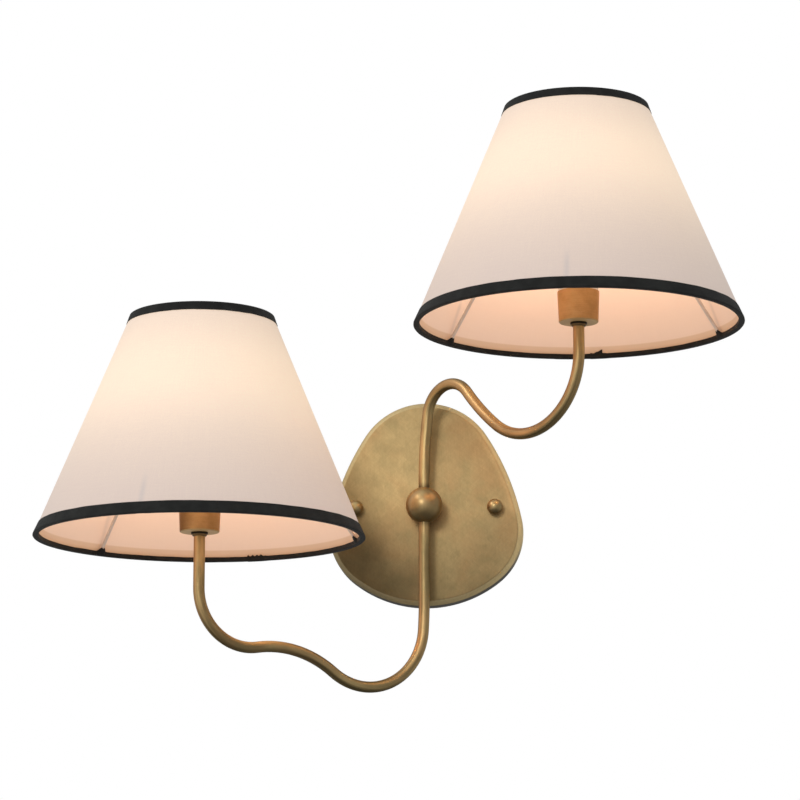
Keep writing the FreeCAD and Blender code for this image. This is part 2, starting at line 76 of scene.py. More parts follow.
studio = {
    "cameraPlace": (0.1529, -2.2892, -0.3745),
    "cameraPitch": 11.302,              # degrees up
    "cameraTurn": 4.316,                # degrees, seen from above
    "lens": 142.16,
    "sensor": 36,
    "clip": 0.05,
    "skyDiffuse": 0.74,
    "skyGloss": (0.27, 0.86),           # what metal reflects: the dim side and the bright side of the room
    "brightSide": (-0.54, -0.66, 0.52),
    "brightFrom": 0.05,                 # cosine of the angle off that side at which the dim side starts
    "darkBelow": (-0.95, -0.25, 0.30),  # heights on the sky ball between which it darkens, and the share left
    "floorHeight": -1.3,
    "floorSize": 12,
    "floorTone": tone(0.86, 0.85, 0.84),
    "floorRough": (0.62, 0.12),         # the least, and what the grain adds
}
softLights = {
    "keyLight": {"place": (-0.50, -2.18, 0.59), "size": 0.46, "power": 5.2, "tone": (1.0, 0.97, 0.93)},
    "skyLight": {"place": (-1.35, -1.10, 1.50), "size": 0.7, "power": 7, "tone": (1.0, 0.97, 0.94)},
}
lampLight = {"power": 0.06, "radius": 6 * mm, "tone": (1.0, 0.66, 0.38)}


def addCamera():
    bpy.ops.object.camera_add(location=studio["cameraPlace"])
    camera = bpy.context.object
    camera.name = "photoCamera"
    camera.rotation_euler = (radians(90 + studio["cameraPitch"]), 0, radians(studio["cameraTurn"]))
    camera.data.sensor_width = studio["sensor"]
    camera.data.lens = studio["lens"]
    camera.data.clip_start = studio["clip"]
    bpy.context.scene.camera = camera


def addLights():
    middle = (Vector(cadBox[0]) + Vector(cadBox[1])) / 2
    for name, light in softLights.items():
        bpy.ops.object.light_add(type="AREA", location=light["place"])
        lamp = bpy.context.object
        lamp.name = name
        lamp.data.size = light["size"]
        lamp.data.energy = light["power"]
        lamp.data.color = light["tone"]
        lamp.rotation_euler = (middle - Vector(light["place"])).to_track_quat("-Z", "Y").to_euler()
    for side in sides:
        bpy.ops.object.light_add(type="POINT", location=middleOf(side + "_bulb_filament"))
        lamp = bpy.context.object
        lamp.name = side + "_glow"
        lamp.data.energy = lampLight["power"]
        lamp.data.color = lampLight["tone"]
        lamp.data.shadow_soft_size = lampLight["radius"]


# A socket that takes part in sums: a + b adds a Math node, and so on
class Value:
    def __init__(self, owner, socket):
        self.owner = owner
        self.socket = socket

    def math(self, operation, other=None, swap=False):
        parts = [self] if other is None else [self, other]
        if swap:
            parts.reverse()
        return self.owner.node("ShaderNodeMath", {"operation": operation}, dict(enumerate(parts)))

    def __add__(self, other):
        return self.math("ADD", other)

    def __radd__(self, other):
        return self.math("ADD", other)

    def __sub__(self, other):
        return self.math("SUBTRACT", other)

    def __rsub__(self, other):
        return self.math("SUBTRACT", other, swap=True)

    def __mul__(self, other):
        return self.math("MULTIPLY", other)

    def __rmul__(self, other):
        return self.math("MULTIPLY", other)

    def __truediv__(self, other):
        return self.math("DIVIDE", other)

    def __rtruediv__(self, other):
        return self.math("DIVIDE", other, swap=True)

    def __pow__(self, other):
        return self.math("POWER", other)

    # first at low and under, last at high and over, smooth between
    def between(self, low, high, first=0.0, last=1.0):
        return self.owner.node("ShaderNodeMapRange", {"interpolation_type": "SMOOTHSTEP"},
                               {"Value": self, "From Min": low, "From Max": high,
                                "To Min": first, "To Max": last})

    # a soft stripe of the given half width round zero
    def stripe(self, width):
        return 1.0 - self.math("ABSOLUTE").between(0.0, width)


# The nodes of a material or of the world
class Nodes:
    def __init__(self, tree):
        self.tree = tree

    # any node: its settings first, then its sockets, by name or number
    def node(self, kind, settings=None, sockets=None, output=0):
        made = self.tree.nodes.new(kind)
        for key, value in (settings or {}).items():
            setattr(made, key, value)
        for key, value in (sockets or {}).items():
            if isinstance(value, Value):
                self.tree.links.new(value.socket, made.inputs[key])
            else:
                made.inputs[key].default_value = value
        return Value(self, made.outputs[output])

    def parts(self, vector):
        return [self.node("ShaderNodeSeparateXYZ", None, {"Vector": vector}, output=k) for k in range(3)]

    def joined(self, x, y, z):
        return self.node("ShaderNodeCombineXYZ", None, {0: x, 1: y, 2: z})

    # the cosine of the angle between two directions
    def towards(self, direction, other):
        return self.node("ShaderNodeVectorMath", {"operation": "DOT_PRODUCT"}, {0: direction, 1: other},
                         output="Value")


# A material: constants go on the shader's own sockets, and what varies comes through nodes
class Finish(Nodes):
    def __init__(self, name, **constants):
        self.material = bpy.data.materials.new(name)
        self.material.use_nodes = True
        super().__init__(self.material.node_tree)
        self.shader = self.tree.nodes["Principled BSDF"]
        for socket, value in constants.items():
            self.shader.inputs[socket.replace("_", " ")].default_value = value
        self.place = self.node("ShaderNodeTexCoord", output="Object")

    def feed(self, socket, value):
        self.tree.links.new(value.socket, self.shader.inputs[socket])

    def mapped(self, scale=(1, 1, 1), centre=(0, 0, 0), turn=(0, 0, 0), vector=None):
        return self.node("ShaderNodeMapping", {"vector_type": "TEXTURE"},
                         {"Vector": vector or self.place, "Location": centre, "Rotation": turn,
                          "Scale": [1 / s for s in scale]})

    def noise(self, scale, detail=2.0, rough=0.5, vector=None, twist=0.0):
        return self.node("ShaderNodeTexNoise", None,
                         {"Vector": vector or self.place, "Scale": scale, "Detail": detail,
                          "Roughness": rough, "Distortion": twist})

    # noise drawn out along one of the axes, as brushing is
    def streaks(self, scale, detail=2, rough=0.5, turn=(0, 0, 0), vector=None):
        return self.noise(1.0, detail, rough, vector=self.mapped(scale, turn=turn, vector=vector))

    # 6 and 7 are a colour Mix node's two colours, and its third output is their mix
    def blend(self, factor, first, second, mode="MIX"):
        return self.node("ShaderNodeMix", {"data_type": "RGBA", "blend_type": mode},
                         {0: factor, 6: first, 7: second}, output=2)

    # a screw thread's wave round a line through centre, along the axis numbered along
    def thread(self, centre, pitch, along=2):
        steps = self.parts(self.mapped(centre=centre))
        first, second = [steps[k] for k in range(3) if k != along]
        return (steps[along] * (2 * pi / pitch) + first.math("ARCTAN2", second)).math("SINE")

    def bump(self, height, strength, distance):
        self.feed("Normal", self.node("ShaderNodeBump", None,
                                      {"Height": height, "Strength": strength, "Distance": distance}))


def paint(node, finish):
    piece = nodes[node]
    piece.data.materials.clear()
    piece.data.materials.append(finish.material)


def addWorld():
    world = bpy.data.worlds.new("paleRoom")
    bpy.context.scene.world = world
    world.use_nodes = True
    sky = Nodes(world.node_tree)
    background = world.node_tree.nodes["Background"]
    background.inputs["Color"].default_value = tone(1, 1, 1)
    way = sky.node("ShaderNodeTexCoord", output="Generated")
    dim, bright = studio["skyGloss"]
    low, high, left = studio["darkBelow"]
    gloss = sky.towards(way, studio["brightSide"]).between(studio["brightFrom"], 1.0, dim, bright)
    seenByMetal = gloss * sky.parts(way)[2].between(low, high, left)
    # diffuse light, then what glossy rays see, then plain white for the camera and through glass
    strength = studio["skyDiffuse"]
    for ray, seen in (("Is Glossy Ray", seenByMetal), ("Is Transmission Ray", 1.0), ("Is Camera Ray", 1.0)):
        path = sky.node("ShaderNodeLightPath", output=ray)
        strength = sky.node("ShaderNodeMix", None, {0: path, 2: strength, 3: seen})
    sky.tree.links.new(strength.socket, background.inputs["Strength"])


def addFloor():
    bpy.ops.object.select_all(action="DESELECT")
    bpy.ops.mesh.primitive_plane_add(size=studio["floorSize"], location=(0, 0, studio["floorHeight"]))
    floor = bpy.context.object
    floor.name = "floor"
    finish = Finish("paleFloor", Base_Color=studio["floorTone"])
    least, more = studio["floorRough"]
    finish.feed("Roughness", least + more * finish.noise(9, 3))
    floor.data.materials.append(finish.material)
    floor.visible_glossy = False


brassTones = {
    "agedBrass": {
        "gold": tone(0.47, 0.34, 0.158), "brown": tone(0.43, 0.27, 0.12), "olive": tone(0.36, 0.28, 0.13)},
    "rubbedBrass": {
        "gold": tone(0.58, 0.43, 0.195), "brown": tone(0.54, 0.35, 0.16), "olive": tone(0.44, 0.35, 0.16)},
    "warmBrass": {
        "gold": tone(0.56, 0.37, 0.165), "brown": tone(0.52, 0.32, 0.135), "olive": tone(0.44, 0.30, 0.14)},
    "plainBrass": {
        "gold": tone(0.68, 0.50, 0.22), "brown": tone(0.62, 0.43, 0.17), "olive": tone(0.55, 0.42, 0.18)},
}
brass = {
    "blotch": 20, "cloud": 60, "speckle": 1500,     # scales of the clouds and the speckle
    "brush": (1500, 1500, 70),
    "metal": 0.92,
    "rough": 0.33,
    "smoother": 0.08,                   # taken off that on the small turned pieces
    "bump": 0.2, "bumpDepth": 0.02 * mm,
    "paintedUnderShade": 0.42,                  # share of painted shade under the rubbed pieces
    "paintedWarmReflection": tone(0.62, 0.31, 0.135),  # painted warm reflection on the sides that face left and up
    "paintedWarmReflectionShare": {"rubbedBrass": 0.7, "warmBrass": 0.25},
}
arm = {
    "around": 2.3, "onward": 16.0,      # how fine the brushing is round the tube and along it
    "dark": 0.66, "streak": 0.54,
    "black": (17.5 * mm, 12.5 * mm, 0.5),   # two distances from the ball's height, and the share
    "bump": 0.08,
}
cup = {
    "brush": (60, 60, 1400),            # turned: it goes round the cup
    "tint": tone(1.0, 0.82, 0.68),
    # painted shade on each cup's sides and painted light underneath, set for each lamp
    "paintedLeftShade": {"upper": 0.0, "lower": 0.65},
    "paintedRightShade": {"upper": 0.22, "lower": 0.32},
    "paintedUnderLight": {"upper": 0.1, "lower": 0.35},
    "underDull": 0.6,                   # taken off the metal underneath
}
plate = {
    "front": 15 * mm,                   # how far the face stands off the wall
    "edgeDepth": 0.12 * mm,             # how far behind the face the rubbed edge is full
    "wallDepth": (2.2 * mm, 4.0 * mm),  # and where the wall starts and is full
    "rim": tone(0.70, 0.555, 0.27), "wear": 0.75,
    "wall": tone(0.78, 0.61, 0.27), "paintedWallUnderShade": tone(0.12, 0.11, 0.08), "wallShare": 0.9,
    "rimMetal": 0.20,                   # the rubbed edge and the wall are duller than the face
    "paintedRimHighlight": 0.34,
    "rightArc": (-108.2, -44.3, 182),   # the outline's arc at the upper right: centre x, z and radius mm
    "paintedNearRimHighlight": 0.25, "nearFrom": 8.5, "nearFull": 3.6,      # painted highlight: the face brightens towards it, over these mm
    "dim": 0.95,
    "paintedFootShade": (5 * mm, -78 * mm, 0.48),   # painted shade: two heights between which it darkens, and the share
    "paintedCrownShade": (30 * mm, 85 * mm, 0.10),
    "paintedLeftShade": (5 * mm, -50 * mm, 0.22),   # painted shadow: the same across, below the ball
    "darkerPatches": ((18, 54, 34, 0.10), (52, -26, 30, 0.16), (-10, -52, 24, 0.20), (46, -62, 22, 0.08),
                (-48, -28, 28, 0.30)),  # x, z, radius mm, share
    "paintedHighlight": (-14, 14, 30, 0.12),
    "scuffTurns": (35, -50, 80),        # degrees
    "scuff": (160, 700, 700), "scuffShare": 0.20,
    "scratch": (90, 2600, 2600), "scratchShare": 0.10, "scratchTurn": 12,
}


# How far a place on the plate's face is from another, given in mm
def apart(across, height, x, z):
    return ((across - x * mm) ** 2.0 + (height - z * mm) ** 2.0).math("SQRT")


# A share that comes in between two places on one axis
def fade(place, ends):
    low, high, share = ends
    return place.between(low, high) * share


# Brushing that follows a bent tube: the normal tells how far round it is, and the place how far along
def tubeBrush(finish, side, normal):
    run = axes[side] - middleOf("hub_ball")
    offPlane = Vector((run.y, -run.x, 0)).normalized()
    around = finish.towards(normal, offPlane) * arm["around"]
    x, _, z = finish.parts(finish.place)
    return finish.noise(1.0, 3, 0.6, vector=finish.joined(around, x * arm["onward"], z * arm["onward"]))


# Painted shade darkens the plate to its foot, crown and lower left, its rounded edge is rubbed lighter
# and carries a painted highlight, and the wall behind that is dull, with painted shade underneath
def agePlate(finish, colour, level, facing):
    across, depth, height = finish.parts(finish.place)
    # painted shade, darker towards the foot and the crown
    ends = fade(height, plate["paintedFootShade"]) + fade(height, plate["paintedCrownShade"])
    # painted shadow of the lower shade on the left, below the ball
    low, high, share = plate["paintedLeftShade"]
    left = across.between(low, high) * height.between(0.0, -45 * mm) * share
    level = level * plate["dim"] * (1.0 - ends - left)
    # darker patches on the face
    for x, z, radius, share in plate["darkerPatches"]:
        level = level * (1.0 - share * apart(across, height, x, z).between(radius * mm, 0.0))
    # painted highlight: a bright spot on the face
    x, z, radius, share = plate["paintedHighlight"]
    level = level * (1.0 + share * apart(across, height, x, z).between(radius * mm, 0.0))
    for turn in plate["scuffTurns"]:
        scuff = finish.streaks(plate["scuff"], 3, 0.6, (0, radians(turn), 0))
        level = level * (1.0 - plate["scuffShare"] / 2 + plate["scuffShare"] * scuff)
        scratch = finish.streaks(plate["scratch"], 1, 0.5, (0, radians(turn + plate["scratchTurn"]), 0))
        level = level * (1.0 + plate["scratchShare"] * scratch.between(0.62, 0.74))
    face = -plate["front"]
    edge = depth.between(face, face + plate["edgeDepth"])
    wallFrom, wallFull = plate["wallDepth"]
    wall = depth.between(face + wallFrom, face + wallFull)
    under = facing[2].between(-0.1, -0.7)
    # painted highlight on the edge, most on its right, and more low down
    rubbedAndHighlit = edge * facing[0].between(0.1, 0.5) * (1.0 - 0.5 * height.between(-45 * mm, -5 * mm))
    level = level * (1.0 + plate["paintedRimHighlight"] * rubbedAndHighlit)
    # painted highlight: the face brightens towards the outline's arc at its upper right
    x, z, radius = plate["rightArc"]
    nearFrom, nearFull = (radius - plate["nearFrom"]) * mm, (radius - plate["nearFull"]) * mm
    near = apart(across, height, x, z).between(nearFrom, nearFull) * across.between(18 * mm, 34 * mm)
    level = level * (1.0 + plate["paintedNearRimHighlight"] * near * height.between(-12 * mm, 0.0) * (1.0 - edge))
    colour = finish.blend((edge - wall).math("MAXIMUM", 0.0) * plate["wear"], colour, plate["rim"])
    # painted shade on the wall where it faces down
    wallTone = finish.blend(under, plate["wall"], plate["paintedWallUnderShade"])
    colour = finish.blend(wall * plate["wallShare"], colour, wallTone)
    duller = brass["metal"] - plate["rimMetal"]
    finish.feed("Metallic", brass["metal"] - duller * edge * (1.0 - wall * under))
    return colour, level


# Painted shade darkens the cups at their sides, and painted light lightens them underneath, where they are
# also duller
def ageCup(finish, side, level, facing, cloud, brush):
    under = facing[2].between(-0.3, -0.8)
    finish.feed("Metallic", brass["metal"] - cup["underDull"] * under)
    finish.shader.inputs["Specular Tint"].default_value = cup["tint"]
    level = level * (0.86 + 0.28 * cloud.between(0.35, 0.65)) * (0.98 + 0.04 * brush.between(0.3, 0.7))
    # painted shade on the sides, then painted light underneath
    left, right = facing[0].between(0.0, -1.0), facing[0].between(0.0, 1.0)
    level = level * (1.0 - cup["paintedLeftShade"][side] * left - cup["paintedRightShade"][side] * right)
    return level * (1.0 + cup["paintedUnderLight"][side] * under)


# Waxed brass: soft clouds of gold, brown and olive, fine speckle, and brushing. The plate, the arms and the
# cups are named by part, and have wear, painted light and painted shade of their own.
def brassFinish(name, part="", side=""):
    tones = brassTones[name]
    finish = Finish(name + (side or part).title(), Metallic=brass["metal"])
    blotch = finish.noise(brass["blotch"], 3, 0.55, twist=0.4)
    cloud = finish.noise(brass["cloud"], 4, 0.65)
    speckle = finish.noise(brass["speckle"], 2, 0.6)
    normal = finish.node("ShaderNodeTexCoord", output="Normal")
    facing = finish.parts(normal)
    colour = finish.blend(blotch.between(0.38, 0.68) * 0.8, tones["gold"], tones["brown"])
    colour = finish.blend(cloud.between(0.42, 0.72) * 0.6, colour, tones["olive"])
    # painted warm reflection: sides facing left and up take a warmer tone
    if name in brass["paintedWarmReflectionShare"]:
        warmReflection = (facing[0] * -1.0 + 0.35 * facing[2]).between(0.15, 0.75) * (0.6 + 0.5 * cloud)
        colour = finish.blend(warmReflection * brass["paintedWarmReflectionShare"][name], colour, brass["paintedWarmReflection"])
    if part == "arm":
        brush = tubeBrush(finish, side, normal)
        level = arm["dark"] + 0.08 * speckle + arm["streak"] * brush.between(0.38, 0.62)
        # the tube is darker where it enters the ball
        low, high, share = arm["black"]
        offBall = finish.parts(finish.place)[2] - middleOf("hub_ball").z
        level = level * (1.0 - share * offBall.math("ABSOLUTE").between(low, high))
    else:
        brush = finish.streaks(cup["brush"] if part == "cup" else brass["brush"])
        level = 0.88 + 0.08 * speckle + 0.12 * brush
    # painted shade: the rubbed pieces are darker on their undersides
    if name == "rubbedBrass":
        level = level * (1.0 - brass["paintedUnderShade"] * facing[2].between(-0.25, -0.95))
    if part == "plate":
        colour, level = agePlate(finish, colour, level, facing)
    if part == "cup":
        level = ageCup(finish, side, level, facing, cloud, brush)
    finish.feed("Base Color", finish.blend(1.0, colour, finish.joined(level, level, level), "MULTIPLY"))
    rough = brass["rough"] if part in ("plate", "arm") else brass["rough"] - brass["smoother"]
    finish.feed("Roughness", rough + 0.12 * cloud + 0.08 * brush)
    strength = arm["bump"] if part == "arm" else brass["bump"]
    finish.bump(0.3 * brush + 0.3 * speckle, strength, brass["bumpDepth"])
    return finish


steel = {"bright": tone(0.66, 0.66, 0.64), "dull": tone(0.54, 0.54, 0.53), "spangle": 420.0, "rough": 0.34}


def steelFinish():
    finish = Finish("zincSteel", Metallic=1.0)
    spangle = finish.node("ShaderNodeTexVoronoi", None, {"Vector": finish.place, "Scale": steel["spangle"]},
                          output="Distance")
    scratch = finish.streaks((40, 900, 900))
    finish.feed("Base Color", finish.blend(spangle.between(0.1, 0.8), steel["bright"], steel["dull"]))
    finish.feed("Roughness", steel["rough"] + 0.16 * scratch)
    finish.bump(scratch, 0.2, 0.03 * mm)
    return finish


earthScrew = {"dark": tone(0.04, 0.26, 0.10), "light": tone(0.10, 0.36, 0.14)}


def greenFinish():
    finish = Finish("earthGreen", Metallic=0.85)
    cloud = finish.noise(700, 3)
    finish.feed("Base Color", finish.blend(cloud.between(0.35, 0.7), earthScrew["dark"], earthScrew["light"]))
    finish.feed("Roughness", 0.3 + 0.2 * cloud)
    return finish


collar = {
    "black": (tone(0.055, 0.045, 0.028), tone(0.03, 0.027, 0.02)),
    "rubbedAndHighlit": (tone(0.30, 0.22, 0.11), tone(0.20, 0.15, 0.08)),
    "lip": (1.5 * mm, 1.1 * mm),        # heights over its foot between which the rubbed lip starts
}


# The collar is blackened where it meets the cup, and its lip below is rubbed
def collarFinish(side):
    finish = Finish(side + "Collar", Metallic=0.9)
    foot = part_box(side + "_collar")[0].z
    height = finish.parts(finish.place)[2]
    cloud = finish.noise(300, 3)
    black, rubbedAndHighlit = finish.blend(cloud, *collar["black"]), finish.blend(cloud, *collar["rubbedAndHighlit"])
    lipTop, lipFull = collar["lip"]
    finish.feed("Base Color", finish.blend(height.between(foot + lipTop, foot + lipFull), black, rubbedAndHighlit))
    finish.feed("Roughness", 0.30 + 0.15 * cloud)
    finish.bump(cloud, 0.15, 0.02 * mm)
    return finish


nickelTones = {"gold": tone(0.68, 0.66, 0.62), "brown": tone(0.50, 0.48, 0.44)}
pitches = {"lamp": 2.54 * mm, "nipple": 0.94 * mm, "stud": 0.79 * mm}


# Machined thread: crests in bright brass, roots darkened with painted shade
def threadFinish(name, tones, centre, pitch, along=2):
    finish = Finish(name, Metallic=1.0)
    wave = finish.thread(centre, pitch, along)
    cloud = finish.noise(300, 3)
    colour = finish.blend(wave.between(-0.8, 0.6), tones["brown"], tones["gold"])
    finish.feed("Base Color", finish.blend(0.25 * cloud, colour, tones["brown"]))
    finish.feed("Roughness", 0.24 + 0.16 * cloud)
    finish.bump(wave, 0.7, 0.25 * mm)
    return finish


mattLooks = {
    "whiteWire": {
        "light": tone(0.64, 0.55, 0.48), "dark": tone(0.58, 0.49, 0.42), "rough": 0.45, "grain": 900,
        "depth": 0.05 * mm},
    "holderPlastic": {
        "light": tone(0.72, 0.69, 0.62), "dark": tone(0.67, 0.64, 0.57), "rough": 0.42, "grain": 1200,
        "depth": 0.03 * mm},
    "leadSheath": {
        "light": tone(0.60, 0.55, 0.45), "dark": tone(0.54, 0.49, 0.40), "rough": 0.45, "grain": 800,
        "depth": 0.04 * mm},
    "connectorPlastic": {
        "light": tone(0.50, 0.51, 0.52), "dark": tone(0.44, 0.45, 0.46), "rough": 0.36, "grain": 1400,
        "depth": 0.03 * mm},
}


# Moulded or painted matt surfaces, with a slight mottle in tone, gloss and height
def mattFinish(name):
    look = mattLooks[name]
    finish = Finish(name)
    mottle = finish.noise(look["grain"], 4, 0.6)
    wide = finish.noise(look["grain"] / 14, 2)
    finish.feed("Base Color", finish.blend(wide.between(0.3, 0.7), look["light"], look["dark"]))
    finish.feed("Roughness", look["rough"] + 0.12 * mottle)
    finish.bump(mottle, 0.3, look["depth"])
    return finish


def glassFinish():
    finish = Finish("lampGlass", Base_Color=tone(0.98, 0.96, 0.92), Transmission_Weight=1.0, IOR=1.45)
    finish.feed("Roughness", 0.015 + 0.03 * finish.noise(60, 3))
    return finish


filament = {
    "strength": 5.0,
    "body": (tone(0.95, 0.62, 0.20), tone(0.98, 0.74, 0.34)),
    "light": (tone(1.0, 0.58, 0.24), tone(1.0, 0.70, 0.38)),
}


def filamentFinish():
    finish = Finish("litFilament", Roughness=0.5, Emission_Strength=filament["strength"])
    grain = finish.noise(900, 2)
    finish.feed("Base Color", finish.blend(grain, *filament["body"]))
    finish.feed("Emission Color", finish.blend(grain, *filament["light"]))
    return finish


# The shade is a sheet wrapped into a cone, with folded tapes round its two edges
shade = {
    "bottomRadius": 115.3 * mm,
    "topRadius": 50.5 * mm,
    "height": 157.4 * mm,
    "tapeThick": 0.4 * mm,
    "clothThick": 0.6 * mm,
    "clothFrom": 1.0 * mm,              # the cut's lower edge, inside the folded tape
    "seamAngle": 95,                    # at the back
    "seamWidth": 8 * mm,
    "lapRise": 9 * mm,                  # length over which the lap climbs onto the cloth's start
    "threads": 1100,                    # of the weave, to the metre
    "steps": (300, 44),
}
strutAngles = {"upper": (267, 27, 147), "lower": (257.4, 17.4, 137.4)}
slope = atan2(shade["bottomRadius"] - shade["topRadius"], shade["height"])
glow = {
    "lampHeight": 79 * mm,
    "cloth": tone(0.655, 0.546, 0.512),
    "clothLight": tone(0.69, 0.585, 0.532),
    "clothShadow": tone(0.50, 0.50, 0.52),
    "light": tone(0.45, 0.332, 0.184),          # added where the lamp is nearest
    "seamDark": 0.22,
    "lining": tone(0.50, 0.42, 0.36),
    "liningThread": tone(0.56, 0.47, 0.40),
    "liningLight": tone(0.815, 0.50, 0.33),
    "liningBounce": tone(0.11, 0.06, 0.04),
    "liningShadow": tone(0.10, 0.08, 0.07),
    "band": (8.7 * mm, 7.7 * mm),               # heights between which the band below starts
    "paintedBandShade": tone(0.50, 0.38, 0.28),
    "bandLight": tone(0.17, 0.07, 0.01),
}
strutShadow = {
    "cloth": (3.4 * mm, 33 * mm, 16 * mm, 0.55),    # half width, two heights it comes in between, share
    "lining": (3.0 * mm, 34 * mm, 26 * mm, 0.38),
    "ahead": 20 * mm,                               # off the axis, where it is full
}


def slopeRadius(height, inset=0.0):
    return shade["bottomRadius"] - inset / cos(slope) - height * tan(slope)


def smooth(low, high, value):
    share = min(1.0, max(0.0, (value - low) / (high - low)))
    return share * share * (3 - 2 * share)


# A flat strip of the given size, laid on a form by place(u, v) with u and v from 0 to 1
def wrapStrip(name, steps, size, place):
    bpy.ops.object.select_all(action="DESELECT")
    bpy.ops.mesh.primitive_grid_add(x_subdivisions=steps[0], y_subdivisions=steps[1], size=1)
    piece = bpy.context.object
    piece.name = name
    for corner in piece.data.uv_layers.active.data:
        corner.uv = (corner.uv[0] * size[0], corner.uv[1] * size[1])
    for vertex in piece.data.vertices:
        vertex.co = place(vertex.co.x + 0.5, vertex.co.y + 0.5)
    return piece


def thicken(piece, thickness, lining=0):
    bpy.context.view_layer.objects.active = piece
    solidify = piece.modifiers.new("thickness", "SOLIDIFY")
    solidify.thickness = thickness
    solidify.offset = -1
    solidify.material_offset = lining
    bpy.ops.object.modifier_apply(modifier=solidify.name)
    bpy.ops.object.select_all(action="DESELECT")
    piece.select_set(True)
    bpy.ops.object.shade_smooth_by_angle(angle=radians(40))


# Plain weave in the sheet's own flat measures: the threads, and the slubs in them
def weave(finish):
    threads = shade["threads"]
    sheet = finish.node("ShaderNodeTexCoord", output="UV")
    along, across, _ = finish.parts(sheet)
    warp = (along * (threads * 2 * pi)).math("SINE")
    weft = (across * (threads * 2 * pi)).math("SINE")
    slub = finish.streaks((threads, threads / 25, 1), 3, 0.6, vector=sheet)
    slubAcross = finish.streaks((threads / 25, threads, 1), 3, 0.6, vector=sheet)
    return warp * weft, slub + slubAcross - 1.0


# How strongly the lamp lights the cloth at a height: 1 where it is nearest, less by the cube of the distance
def lampShare(height):
    near = shade["bottomRadius"] * cos(slope) - glow["lampHeight"] * sin(slope)
    foot = glow["lampHeight"] * cos(slope) + shade["bottomRadius"] * sin(slope)
    off = height / cos(slope) - foot
    reach = (off * off + near * near).math("SQRT")
    return (near / reach) ** 3.0


# For a line that leaves the axis at an angle: how far a place is to its side, and 1 for places before it
def fromLine(across, deep, angle):
    a = radians(angle)
    off = across * -sin(a) + deep * cos(a)
    return off, (across * cos(a) + deep * sin(a)).between(0.0, strutShadow["ahead"])


# Each strut's shadow falls on the low part of the cloth before it
def strutShadows(layer, side, across, deep, height):
    width, low, high, share = strutShadow[layer]
    lines = [fromLine(across, deep, angle) for angle in strutAngles[side]]
    first, second, third = [off.stripe(width) * ahead for off, ahead in lines]
    return (first + second + third) * height.between(low, high) * share


def clothFinish(side):
    finish = Finish(side + "ShadeCloth", Roughness=0.85, Emission_Strength=1.0, Sheen_Weight=0.15)
    across, deep, height = finish.parts(finish.mapped(centre=axes[side]))
    threads, slub = weave(finish)
    cloud = finish.noise(22, 2)
    grain = finish.noise(1250, 2, 0.7).between(0.3, 0.7)
    share = lampShare(height) * (0.93 + 0.14 * cloud) * (0.96 + 0.08 * grain + 0.10 * slub)
    shadow = strutShadows("cloth", side, across, deep, height)
    glowing = finish.blend(share, tone(0, 0, 0), glow["light"])
    # two layers of cloth at the seam let less light through
    off, behind = fromLine(across, deep, shade["seamAngle"])
    seam = (off - shade["seamWidth"] / 2).math("ABSOLUTE").between(4.6 * mm, 3.6 * mm)
    glowing = finish.blend(shadow + glow["seamDark"] * seam * behind, glowing, tone(0, 0, 0))
    finish.feed("Emission Color", glowing)
    worn = finish.blend(0.5 * grain + slub, glow["cloth"], glow["clothLight"])
    finish.feed("Base Color", finish.blend(shadow * 0.35, worn, glow["clothShadow"]))
    finish.bump(threads + slub, 0.12, 0.06 * mm)
    return finish


def liningFinish(side):
    finish = Finish(side + "ShadeLining", Roughness=0.6, Emission_Strength=1.0)
    across, deep, height = finish.parts(finish.mapped(centre=axes[side]))
    threads, slub = weave(finish)
    # painted shade: the wide tape outside keeps light off the cloth, so a darker band shows over the narrow
    # tape inside
    band = height.between(*glow["band"])
    reached = (lampShare(height) * 1.6).math("MINIMUM", 1.0)
    lit = finish.blend(reached, glow["liningBounce"], glow["liningLight"])
    lit = finish.blend(band * 0.5, lit, glow["bandLight"])
    shadow = strutShadows("lining", side, across, deep, height)
    finish.feed("Emission Color", finish.blend(shadow, lit, glow["liningShadow"]))
    plain = finish.blend(0.5 + 0.5 * slub, glow["lining"], glow["liningThread"])
    # painted shade of the outside tape in the lining's colour
    finish.feed("Base Color", finish.blend(band * 0.8, plain, glow["paintedBandShade"]))
    finish.bump(threads + slub, 0.1, 0.05 * mm)
    return finish


def makeCloth(side):
    axis = axes[side]
    start = radians(shade["seamAngle"])
    low, high = shade["clothFrom"], shade["height"] - shade["clothFrom"]
    seam = shade["seamWidth"]

    def place(u, v):
        height = low + (high - low) * v
        radius = slopeRadius(height, shade["tapeThick"])
        turn = 2 * pi + seam / radius
        fromEnd = (1 - u) * turn * radius
        radius += (shade["clothThick"] + 0.05 * mm) * smooth(seam + shade["lapRise"], seam, fromEnd)
        angle = start + u * turn
        return axis + Vector((radius * cos(angle), radius * sin(angle), height))

    size = (2 * pi * slopeRadius(0), (high - low) / cos(slope))
    cloth = wrapStrip(side + "_cloth", shade["steps"], size, place)
    cloth.data.materials.append(clothFinish(side).material)
    cloth.data.materials.append(liningFinish(side).material)
    thicken(cloth, shade["clothThick"], lining=1)
    return cloth


